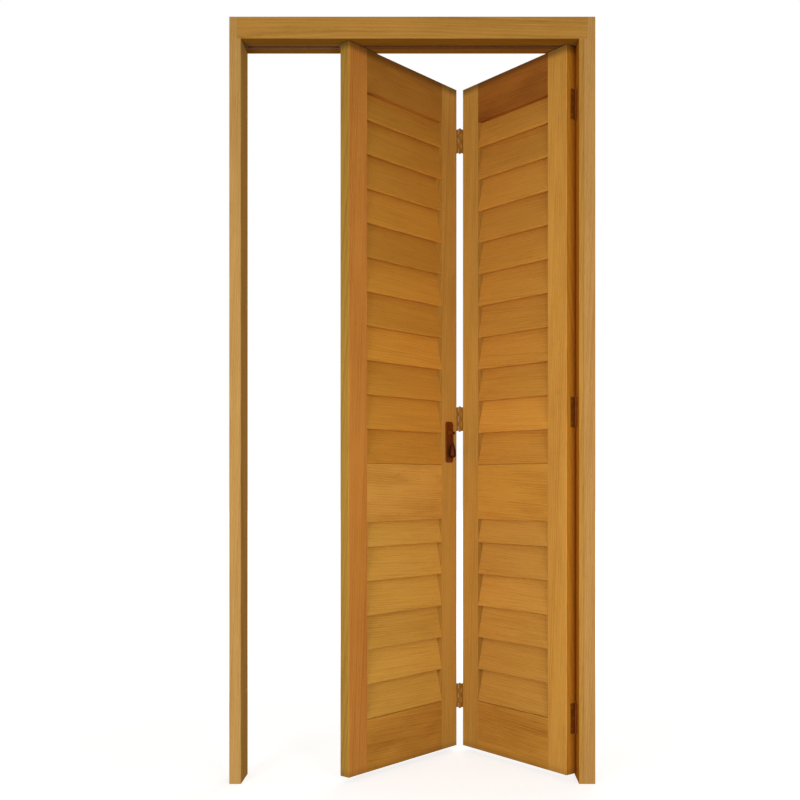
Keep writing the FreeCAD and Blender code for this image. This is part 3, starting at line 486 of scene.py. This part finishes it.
# The top rails take the darkest stains: partly the wood, partly painted shade under the head.
BOARDS = [
    ("head_jamb", "frame", LEVEL, "amber"),
    ("strike_jamb", "frame", UPRIGHT, "straw"),
    ("hinge_jamb", "frame", UPRIGHT, "wheat"),
    ("hinge_packer", "frame", UPRIGHT, "amber"),
    ("hung_leaf_jamb_stile", "hung_leaf", UPRIGHT, "light honey"),
    ("hung_leaf_fold_stile", "hung_leaf", UPRIGHT, "olive"),
    ("hung_leaf_top_rail", "hung_leaf", LEVEL, "red brown"),
    ("hung_leaf_mid_rail", "hung_leaf", LEVEL, "honey"),
    ("hung_leaf_bottom_rail", "hung_leaf", LEVEL, "honey"),
    ("lead_leaf_fold_stile", "lead_leaf", UPRIGHT, "olive"),
    ("lead_leaf_lead_stile", "lead_leaf", UPRIGHT, "russet"),
    ("lead_leaf_top_rail", "lead_leaf", LEVEL, "brown"),
    ("lead_leaf_mid_rail", "lead_leaf", LEVEL, "light honey"),
    ("lead_leaf_bottom_rail", "lead_leaf", LEVEL, "honey"),
]
for log, (board, body, grain, stain) in enumerate(BOARDS):
    tint = SIDE_SHADE_TINTS.get(board, EVEN)
    material = board_material(board, body, grain, middle_of(board), log, STAINS[stain], tint)
    dress(board, material)
print("boards dressed:", len(BOARDS))

# %% [markdown]
# ## Rounded slats
#
# A louvre slat is a thin lath with its long edges run through a moulder, so both are round.
# One slat starts as a cube made long and thin; the bevel operator rounds its four long edges,
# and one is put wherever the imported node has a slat.  The bay is not a whole number of slats
# high, so the joiner rips the top one down, and so does this script.  The lowest slat sits on
# its rail and the ripped one meets the rail above, or a line of light would show there.  Each
# slat also carries a number of its own, so that the wood can differ from one to the next, as
# laths from a mixed pile do.

# %% Helpers for pieces
SMOOTH_ANGLE = math.radians(40)         # a sharper edge than this stays sharp to the eye
TOUCH = 1e-6                            # metres: what lies nearer than this touches


def new_piece(name, mesh_data, body, material):
    """Makes a finished bmesh into a piece that rides on a body."""
    bmesh.ops.recalc_face_normals(mesh_data, faces=mesh_data.faces)
    for face in mesh_data.faces:
        face.smooth = True
    mesh = bpy.data.meshes.new(name)
    mesh_data.to_mesh(mesh)
    mesh_data.free()
    mesh.set_sharp_from_angle(angle=SMOOTH_ANGLE)
    mesh.materials.append(material)
    made = bpy.data.objects.new(name, mesh)
    bpy.context.scene.collection.objects.link(made)
    weighted = made.modifiers.new("keep flats flat", "WEIGHTED_NORMAL")
    weighted.keep_sharp = True
    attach(made, body)
    return made


def add_copy(target, source, matrix):
    """Adds a copy of one bmesh to another, carried by a matrix, and returns its new faces."""
    old_faces = len(target.faces)
    temporary = bpy.data.meshes.new("copy")
    source.to_mesh(temporary)
    temporary.transform(matrix)
    target.from_mesh(temporary)
    bpy.data.meshes.remove(temporary)
    target.faces.ensure_lookup_table()
    return target.faces[old_faces:]


def loose_parts(node_name, body):
    """The boxes, with the door shut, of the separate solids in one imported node, from the left.

    The solids are found by way of sets, which have no order, so the boxes are put in one.
    """
    to_closed = LEAF_TO_REST[body].inverted()
    copy = bmesh.new()
    copy.from_mesh(nodes[node_name].data)
    bmesh.ops.remove_doubles(copy, verts=copy.verts, dist=TOUCH)
    left = set(copy.verts)
    boxes = []
    while left:
        island = {left.pop()}
        to_visit = list(island)
        while to_visit:
            vertex = to_visit.pop()
            for edge in vertex.link_edges:
                other = edge.other_vert(vertex)
                if other in left:
                    left.discard(other)
                    island.add(other)
                    to_visit.append(other)
        boxes.append(span([to_closed @ vertex.co for vertex in island]))
    copy.free()
    return sorted(boxes, key=lambda box: box[0].to_tuple(5))


# %% One slat
SLAT_THICK = 0.010
SLAT_SLOPE = math.radians(77.5)
SLAT_NOSE = 0.0035            # radius of the rounded edges
LEAN = turn(SLAT_SLOPE - math.pi / 2, "X")    # tips an upright lath to the slope


def one_slat(size):
    """A lath along X with its chord along Z and its long edges rounded, to fill a box."""
    length = size.x
    chord = 2 * ((size.z / 2 - SLAT_NOSE) / math.sin(SLAT_SLOPE) + SLAT_NOSE)
    lath = bmesh.new()
    bmesh.ops.create_cube(lath, size=1.0)
    bmesh.ops.scale(lath, vec=(length, SLAT_THICK, chord), verts=lath.verts)
    long_edges = [e for e in lath.edges if abs(e.verts[0].co.x - e.verts[1].co.x) > length / 2]
    bmesh.ops.bevel(
        lath,
        geom=long_edges,
        affect="EDGES",
        offset=SLAT_NOSE,
        offset_type="OFFSET",
        segments=4,
        profile=0.5,
        material=-1,
    )
    return lath


def rip_level(lath, height):
    """Saws off what stands above a height, and closes the cut."""
    everything = lath.verts[:] + lath.edges[:] + lath.faces[:]
    cut = bmesh.ops.bisect_plane(
        lath, geom=everything, plane_co=(0, 0, height), plane_no=(0, 0, 1), clear_outer=True
    )
    edges = [piece for piece in cut["geom_cut"] if isinstance(piece, bmesh.types.BMEdge)]
    bmesh.ops.contextual_create(lath, geom=edges)


print("slope of the slats in degrees:", round(math.degrees(SLAT_SLOPE), 1))

# %% The varnish of the slats
SLAT_LOG = 20                 # the first log for slats, past those of the boards
SLAT_STEP = 40.0              # metres along the log from number 0 to number 1
SLAT_TONE = (0.86, 0.22)      # brightness of number 0, and what number 1 has more
SLAT_FIGURE = {"Ring Gap": 0.006, "Figure": 0.4, "Patches": 0.45}


def slat_material(name, body, middle, log, stain):
    """As a board's, but shifted along the log and in tone by the number of each slat."""
    turned = LEAN.inverted() @ LEAF_TO_REST[body].to_3x3().inverted().to_4x4()

    def colour_from(tree):
        place, facing = grain_vectors(tree, turned, middle, log)
        number = node(tree, "Attribute", attribute_name="slat_number").outputs["Fac"]
        step = maths(tree, "MULTIPLY", number, SLAT_STEP)
        along_log = node(tree, "CombineXYZ", {0: step}).outputs[0]
        values = {
            "Vector": vector_maths(tree, "ADD", place, along_log),
            "Facing": facing,
            "Pale": stain[0],
            "Dark": stain[1],
        }
        colour, roughness, height = use_group(tree, wood, values | SLAT_FIGURE)
        bright = plus(tree, SLAT_TONE[0], number, SLAT_TONE[1])
        varied = node(tree, "HueSaturation", {"Value": bright, "Color": colour})
        return varied.outputs[0], roughness, height

    return varnished(name, colour_from, LEAF_SHINE)


# %% Fill the four bays
lots = random.Random(7)
SLAT_STAINS = {               # the bays are not all filled from one pile of laths; the upper ones are darker, partly as painted shade under the head
    ("hung_leaf", "upper"): (srgb(212, 150, 62), srgb(164, 101, 30)),
    ("hung_leaf", "lower"): (srgb(213, 155, 69), srgb(164, 105, 35)),
    ("lead_leaf", "upper"): (srgb(209, 147, 56), srgb(161, 98, 27)),
    ("lead_leaf", "lower"): (srgb(220, 166, 73), srgb(172, 114, 41)),
}
PALE_SLATS = {("hung_leaf", "upper"): 1, ("lead_leaf", "upper"): 3}     # the lowest is 0
PALEST = 1.2                  # the number of a slat from a much paler lath
COMMON = (0.2, 0.8)           # the numbers of all others lie between these
RIPPED_OFF = 0.002            # a ripped slat's box is less high than the others' by more than this
RAILS = {"upper": ("mid", "top"), "lower": ("bottom", "mid")}    # below and above each bay
HAIR = 0.00002                # the joint of a slat with a rail, too thin to let light through
for log, ((body, bay), stain) in enumerate(SLAT_STAINS.items()):
    replaced = f"{body}_{bay}_louvres"
    bay_mesh = bmesh.new()
    numbers = bay_mesh.faces.layers.float.new("slat_number")
    places = sorted(loose_parts(replaced, body), key=lambda box: box[0].z)
    size = places[0][1] - places[0][0]
    below, above = [closed_box(f"{body}_{rail}_rail", body) for rail in RAILS[bay]]
    sill, ceiling = below[1].z + HAIR, above[0].z - HAIR
    for place, (low, high) in enumerate(places):
        drop = Vector((0, 0, low.z - sill if place == 0 else 0.0))
        full = size + drop
        lath = one_slat(full)
        lath.transform(Matrix.Translation(low - drop + full / 2) @ LEAN)
        if high.z - low.z < size.z - RIPPED_OFF:
            rip_level(lath, ceiling)
        number = PALEST if PALE_SLATS.get((body, bay)) == place else lots.uniform(*COMMON)
        for face in add_copy(bay_mesh, lath, LEAF_TO_REST[body]):
            face[numbers] = number
        lath.free()
    name = f"{body}_{bay}_slats"
    material = slat_material(name, body, middle_of(replaced), SLAT_LOG + log, stain)
    slats = new_piece(name, bay_mesh, body, material)
    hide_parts(replaced)
    print(replaced, "slats:", len(places))

# %% [markdown]
# ## Dull metal
#
# The hinges are brass gone brown, those on the jamb a darker copy of it as painted shade for the
# gap they sit in, and the pull is dark bronze, darkest on the drop.  Old metal is not one colour:
# handling keeps some places bright, and the rest tarnishes in clouds with small specks.  One
# group gives that mix for every metal here.
# A full coat of oxide is no longer metal to the eye, so each material also says how much of it
# is still bare.

# %% Tarnish group
CLOUD_WAVES = (55.0, 55.0, 40.0)        # in a metre, along each axis
SPECK_WAVES = (900.0, 900.0, 900.0)
SPECKS = 0.3                  # how much the specks tell beside the clouds
DULL_ROUGHNESS = 0.3          # what full tarnish adds to the roughness of a bright place
SPECK_RELIEF = 0.5

tarnish, given, result = new_group(
    "tarnish",
    [
        ("Vector", "Vector", None),
        ("Bright", "Color", None),
        ("Dull", "Color", None),
        ("Cover", "Float", 0.5),
        ("Least Rough", "Float", 0.3),
    ],
    [("Color", "Color"), ("Roughness", "Float"), ("Height", "Float")],
)
clouds = noise(tarnish, given["Vector"], CLOUD_WAVES, detail=4.0, roughness=0.6)
specks = noise(tarnish, given["Vector"], SPECK_WAVES)
amount = maths(tarnish, "ADD", maths(tarnish, "SUBTRACT", clouds, 0.5), given["Cover"])
amount = plus(tarnish, amount, specks, SPECKS)
amount = maths(tarnish, "SUBTRACT", amount, SPECKS / 2, clamp=True)
feed(tarnish, result.inputs["Color"], between(tarnish, amount, given["Bright"], given["Dull"]))
rough = plus(tarnish, given["Least Rough"], amount, DULL_ROUGHNESS, clamp=True)
feed(tarnish, result.inputs["Roughness"], rough)
feed(tarnish, result.inputs["Height"], maths(tarnish, "MULTIPLY", specks, SPECK_RELIEF))
print("nodes in the tarnish group:", len(tarnish.nodes))

# %% Metals
METAL_RELIEF = 0.0002         # metres
METAL_SHINE = (0.1, 0.4)      # under a full coat of oxide, and what bare metal has more


def tarnished(name, bright, dull, cover, least_rough):
    """A material with the group's mix in its shader, and what is needed to go on with it."""
    material, tree, surface = new_material(name)
    values = {
        "Vector": node(tree, "TexCoord").outputs["Object"],
        "Bright": bright,
        "Dull": dull,
        "Cover": cover,
        "Least Rough": least_rough,
    }
    colour, roughness, height = use_group(tree, tarnish, values)
    feed(tree, surface["Base Color"], colour)
    feed(tree, surface["Roughness"], roughness)
    return material, tree, surface, height


def metal(name, bright, dull, cover, least_rough, bare=1.0):
    """Metal with so much of it bare, from 0, under a full coat of brown oxide, to 1."""
    material, tree, surface, height = tarnished(name, bright, dull, cover, least_rough)
    bump = {"Strength": 0.2, "Distance": METAL_RELIEF, "Height": height}
    feed(tree, surface["Normal"], node(tree, "Bump", bump).outputs[0])
    surface["Metallic"].default_value = bare
    surface["Specular IOR Level"].default_value = METAL_SHINE[0] + METAL_SHINE[1] * bare
    return material


fold_brass = metal("fold_hinge_brass", srgb(174, 119, 26), srgb(126, 81, 8), 0.5, 0.6, 0.2)
# painted shade: the jamb hinges and their screws are a darker copy of the brass, for the gap they
# sit in
jamb_brass_shaded = metal("jamb_hinge_brass_shaded", srgb(162, 90, 18), srgb(104, 50, 4), 0.5, 0.6, 0.2)
pull_bronze = metal("pull_bronze", srgb(152, 80, 12), srgb(105, 51, 5), 0.52, 0.42, 0.8)
drop_bronze = metal("drop_bronze", srgb(92, 36, 7), srgb(59, 20, 3), 0.5, 0.36, 0.85)
zinc = metal("zinc_steel", srgb(186, 182, 172), srgb(132, 128, 120), 0.45, 0.36)
track_metal = metal("track_aluminium", srgb(132, 84, 40), srgb(92, 56, 24), 0.5, 0.6, 0.2)

for name in nodes:
    if name.startswith("fold_hinge_"):
        dress(name, fold_brass)
    if name.startswith("jamb_hinge_"):
        dress(name, jamb_brass_shaded)
for name in ("pull_backplate", "pull_pivot_pin"):
    dress(name, pull_bronze)
dress("drop_pull", drop_bronze)
for name in ("hanger_bracket", "hanger_bolt", "hanger_nut", "trolley_axles"):
    dress(name, zinc)
dress("top_track", track_metal)
metals = (fold_brass, jamb_brass_shaded, pull_bronze, drop_bronze, zinc, track_metal)
print("metals:", ", ".join(material.name for material in metals))

# %% [markdown]
# ## Nylon and rubber
#
# The wheels and the body of the trolley are moulded nylon, cream coloured and faintly mottled.
# The two stops are black rubber with a dusty bloom.  Both use the same clouds, but the shader
# is not metal.

# %% Moulded materials
WEAR = 0.4                    # how much of a moulded piece is worn

nylon = tarnished("nylon", srgb(232, 226, 208), srgb(206, 198, 176), WEAR, 0.4)[0]
rubber = tarnished("rubber", srgb(38, 36, 34), srgb(66, 62, 58), WEAR, 0.6)[0]
for name in nodes:
    if name == "trolley_body" or name.startswith("trolley_wheel_"):
        dress(name, nylon)
dress("track_stops", rubber)
print("moulded:", nylon.name, "and", rubber.name)

# %% [markdown]
# ## Screws
#
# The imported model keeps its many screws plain, with eight sides.  Here each gets a round
# head with a cross recess.  The recess is cut as a die would press it: the flat of the head is
# inset, two pairs of planes cut a cross in it, and that cross is pushed in and drawn together.
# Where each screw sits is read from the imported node, one loose part at a time.

# %% A cross recess
RECESS_HALF = 0.16            # half width of a slot of the cross, in head radii
RECESS_REACH = 0.58           # tip of the cross from the middle, in head radii
RECESS_SLACK = 0.02           # reach allowed beyond the tip, in head radii
RECESS_DEPTH = 0.42           # in head radii
RECESS_TAPER = 0.6            # size of the cross at its floor, as a share of that at the top


def inner_faces(screw, radius):
    """The faces of the flat top, at the origin's level, that lie within reach of the cross."""
    reach = radius * (RECESS_REACH + RECESS_SLACK)
    return [
        face for face in screw.faces
        if face.calc_center_median().z > -TOUCH
        and all(vertex.co.xy.length < reach for vertex in face.verts)
    ]


def cut_cross(screw, radius):
    """Presses a cross recess into the flat that lies highest."""
    flat = max(screw.faces, key=lambda face: face.calc_center_median().z)
    inset = radius * (1 - RECESS_REACH)
    bmesh.ops.inset_region(screw, faces=[flat], thickness=inset, use_even_offset=True)
    half = RECESS_HALF * radius
    for axis in (Vector((1, 0, 0)), Vector((0, 1, 0))):
        for side in (-1, 1):
            inner = inner_faces(screw, radius)
            edges = dict.fromkeys(edge for face in inner for edge in face.edges)
            corners = dict.fromkeys(vertex for face in inner for vertex in face.verts)
            bmesh.ops.bisect_plane(
                screw,
                geom=[*inner, *edges, *corners],
                plane_co=axis * side * half,
                plane_no=axis,
            )
    cross = []
    for face in inner_faces(screw, radius):
        middle = face.calc_center_median()
        if min(abs(middle.x), abs(middle.y)) < half:
            cross.append(face)
    pushed = bmesh.ops.extrude_face_region(screw, geom=cross)["geom"]
    floor = [v for v in pushed if isinstance(v, bmesh.types.BMVert)]
    bmesh.ops.delete(screw, geom=cross, context="FACES_ONLY")
    bmesh.ops.translate(screw, vec=(0, 0, -RECESS_DEPTH * radius), verts=floor)
    bmesh.ops.scale(screw, vec=(RECESS_TAPER, RECESS_TAPER, 1.0), verts=floor)


# %% One screw
SCREW_SIDES = 20
TIP_POINT = 0.15              # radius of the point, as a share of the shank's
BUTTON_DEEP = 0.5             # height of a button head, in head radii
BUTTON_ROUND = 0.35           # rounding of a button head, in head radii


def one_screw(radius, shank, length, button=False):
    """A screw that points down, with the top of its head at the origin."""
    screw = bmesh.new()
    bmesh.ops.create_circle(screw, cap_ends=True, radius=radius, segments=SCREW_SIDES)
    ring = list(screw.edges)
    neck = radius - shank
    steps = [(shank, -neck), (shank, -length + 2 * shank), (TIP_POINT * shank, -length)]
    if button:
        under = -BUTTON_DEEP * radius
        steps = [(radius, under), (shank, under), (shank, -length)]
    size = radius
    for step_radius, level in steps:
        wall = bmesh.ops.extrude_edge_only(screw, edges=ring)["geom"]
        moved = [v for v in wall if isinstance(v, bmesh.types.BMVert)]
        ring = [e for e in wall if isinstance(e, bmesh.types.BMEdge) and e.is_boundary]
        ratio = step_radius / size
        bmesh.ops.scale(screw, vec=(ratio, ratio, 1.0), verts=moved)
        for vertex in moved:
            vertex.co.z = level
        size = step_radius
    bmesh.ops.holes_fill(screw, edges=ring)
    if button:
        crown = [e for e in screw.edges if all(abs(v.co.z) < TOUCH for v in e.verts)]
        bmesh.ops.bevel(
            screw,
            geom=crown,
            affect="EDGES",
            offset=BUTTON_ROUND * radius,
            offset_type="OFFSET",
            segments=3,
            profile=0.5,
            material=-1,
        )
    cut_cross(screw, radius)
    return screw


# %% Put every screw in its hole
X, Y, Z = range(3)            # the axis that a screw lies along
SHANK = {                     # shank radius as a share of the head's
    "frame_screws": 0.5,
    "packer_screws": 0.45,
    "frame_hinge_screws": 0.45,
    "hung_leaf_hinge_screws": 0.45,
    "lead_leaf_hinge_screws": 0.45,
    "bracket_screws": 0.44,
    "pull_screws": 0.47,
    "track_screws": 0.5,
}


def place_screws(name, body, material, axis, tip_side, button=False):
    """Replaces a node of plain screws.  Their tips look along an axis, to the side given."""
    pieces = bmesh.new()
    boxes = loose_parts(name, body)
    for low, high in boxes:
        middle = (low + high) / 2
        side = tip_side(middle)
        head = middle.copy()
        head[axis] = low[axis] if side > 0 else high[axis]
        across = (axis + 1) % 3
        radius = (high[across] - low[across]) / 2
        length = high[axis] - low[axis]
        screw = one_screw(radius, SHANK[name] * radius, length, button)
        tip = Vector([side if k == axis else 0 for k in range(3)])
        stand = Vector((0, 0, -1)).rotation_difference(tip).to_matrix().to_4x4()
        spin = turn(lots.uniform(0, math.pi / 2))
        matrix = LEAF_TO_REST[body] @ Matrix.Translation(head) @ stand @ spin
        add_copy(pieces, screw, matrix)
        screw.free()
    made = new_piece(name + "_crossed", pieces, body, material)
    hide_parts(name)
    print(name, "screws:", len(boxes))


place_screws("frame_screws", "frame", zinc, X, lambda m: -1 if m.x > 0 else 1)
place_screws("packer_screws", "frame", zinc, X, lambda m: 1)
place_screws("track_screws", "frame", zinc, Z, lambda m: 1, button=True)
place_screws("frame_hinge_screws", "frame", jamb_brass_shaded, X, lambda m: 1)
for body in ("hung_leaf", "lead_leaf"):
    towards = sum(corner.x for corner in closed_box(body + "_mid_rail", body)) / 2
    place_screws(
        body + "_hinge_screws",
        body,
        fold_brass,
        X,
        lambda m, towards=towards: 1 if m.x < towards else -1,
    )
place_screws("bracket_screws", "lead_leaf", zinc, Z, lambda m: -1)
place_screws("pull_screws", "lead_leaf", pull_bronze, Y, lambda m: 1)

# %% [markdown]
# ## The studio
#
# The floor and the air behind it are plain white to the camera, but they must not pour white
# light on the wood.  So both are white only to rays that come from the camera or from a
# reflection.  Under that the floor is a pale paint that takes the door's soft shadow.

# %% Floor


def seen_directly(tree):
    """1 for camera, mirror and glass rays, and 0 for the rays that carry light around."""
    rays = node(tree, "LightPath").outputs
    seen = maths(tree, "MAXIMUM", rays["Is Camera Ray"], rays["Is Glossy Ray"])
    return maths(tree, "MAXIMUM", seen, rays["Is Transmission Ray"])


FLOOR_PAINT = (srgb(176, 174, 170), srgb(182, 180, 176))
FLOOR_WAVES = (3.0, 3.0, 3.0)
FLOOR_GLOW = (1.2, 3.0, 0.72, 1.0)      # metres from and to, glow from and to
FLOOR_RADIUS = 30.0
FLOOR_DROP = 0.0005           # so that the feet don't share the floor's own plane

floor_material, tree, surface = new_material("floor_paint")
on_floor = node(tree, "TexCoord").outputs["Object"]
mottle = noise(tree, on_floor, FLOOR_WAVES, detail=3.0)
feed(tree, surface["Base Color"], between(tree, mottle, *FLOOR_PAINT))
surface["Roughness"].default_value = 0.9
surface["Emission Color"].default_value = (1, 1, 1, 1)
distance = node(tree, "VectorMath", {0: on_floor}, operation="LENGTH").outputs["Value"]
glow = maths(tree, "MULTIPLY", seen_directly(tree), ramp(tree, distance, *FLOOR_GLOW))
feed(tree, surface["Emission Strength"], glow)

floor_mesh = bmesh.new()
bmesh.ops.create_circle(floor_mesh, cap_ends=True, radius=FLOOR_RADIUS, segments=64)
mesh = bpy.data.meshes.new("floor")
floor_mesh.to_mesh(mesh)
floor_mesh.free()
mesh.materials.append(floor_material)
floor = bpy.data.objects.new("floor", mesh)
floor.location.z = -FLOOR_DROP
bpy.context.scene.collection.objects.link(floor)
print("floor across in m:", 2 * FLOOR_RADIUS)

# %% World
AMBIENT = (1.0, 0.985, 0.96, 1.0)
AMBIENT_LEVEL = 0.34

world = bpy.data.worlds.new("studio")
world.use_nodes = True
bpy.context.scene.world = world
tree = world.node_tree
background = tree.nodes["Background"]
background.inputs["Color"].default_value = AMBIENT
background.inputs["Strength"].default_value = AMBIENT_LEVEL
white = node(tree, "Background", {"Color": (1, 1, 1, 1), "Strength": 1.0})
both = node(tree, "MixShader", {0: seen_directly(tree)})
tree.links.new(background.outputs[0], both.inputs[1])
tree.links.new(white.outputs[0], both.inputs[2])
tree.links.new(both.outputs[0], tree.nodes["World Output"].inputs["Surface"])
print("strength of the light from the air:", AMBIENT_LEVEL)

# %% [markdown]
# ## Lamps
#
# Large soft panels, as in a product studio: the main one on the left, so that the leaf which
# faces it is the brighter one, a weaker one on the right, and one behind for the other side of
# the door.  The two in front are near, so the door is lightest a little below its middle.

# %% Lamps
DOOR_MIDDLE = Vector((0.0, 0.2, 1.1))
FRONT_PANEL = (1.05, 0.87)    # width and height in metres
BACK_PANEL = (3.0, 2.0)


def panel(name, place, size, watts):
    """A soft rectangular panel that looks at the middle of the door."""
    lamp = bpy.data.lights.new(name, "AREA")
    lamp.shape = "RECTANGLE"
    lamp.size, lamp.size_y = size
    lamp.energy = watts
    made = bpy.data.objects.new(name, lamp)
    made.location = place
    made.rotation_euler = (DOOR_MIDDLE - Vector(place)).to_track_quat("-Z", "Y").to_euler()
    bpy.context.scene.collection.objects.link(made)
    print(name, "in watts:", watts)


panel("main_panel", (-1.3, -2.5, 0.88), FRONT_PANEL, 36)
panel("right_panel", (1.22, -2.5, 0.88), FRONT_PANEL, 28.3)
panel("back_panel", (1.0, 4.0, 2.6), BACK_PANEL, 60)
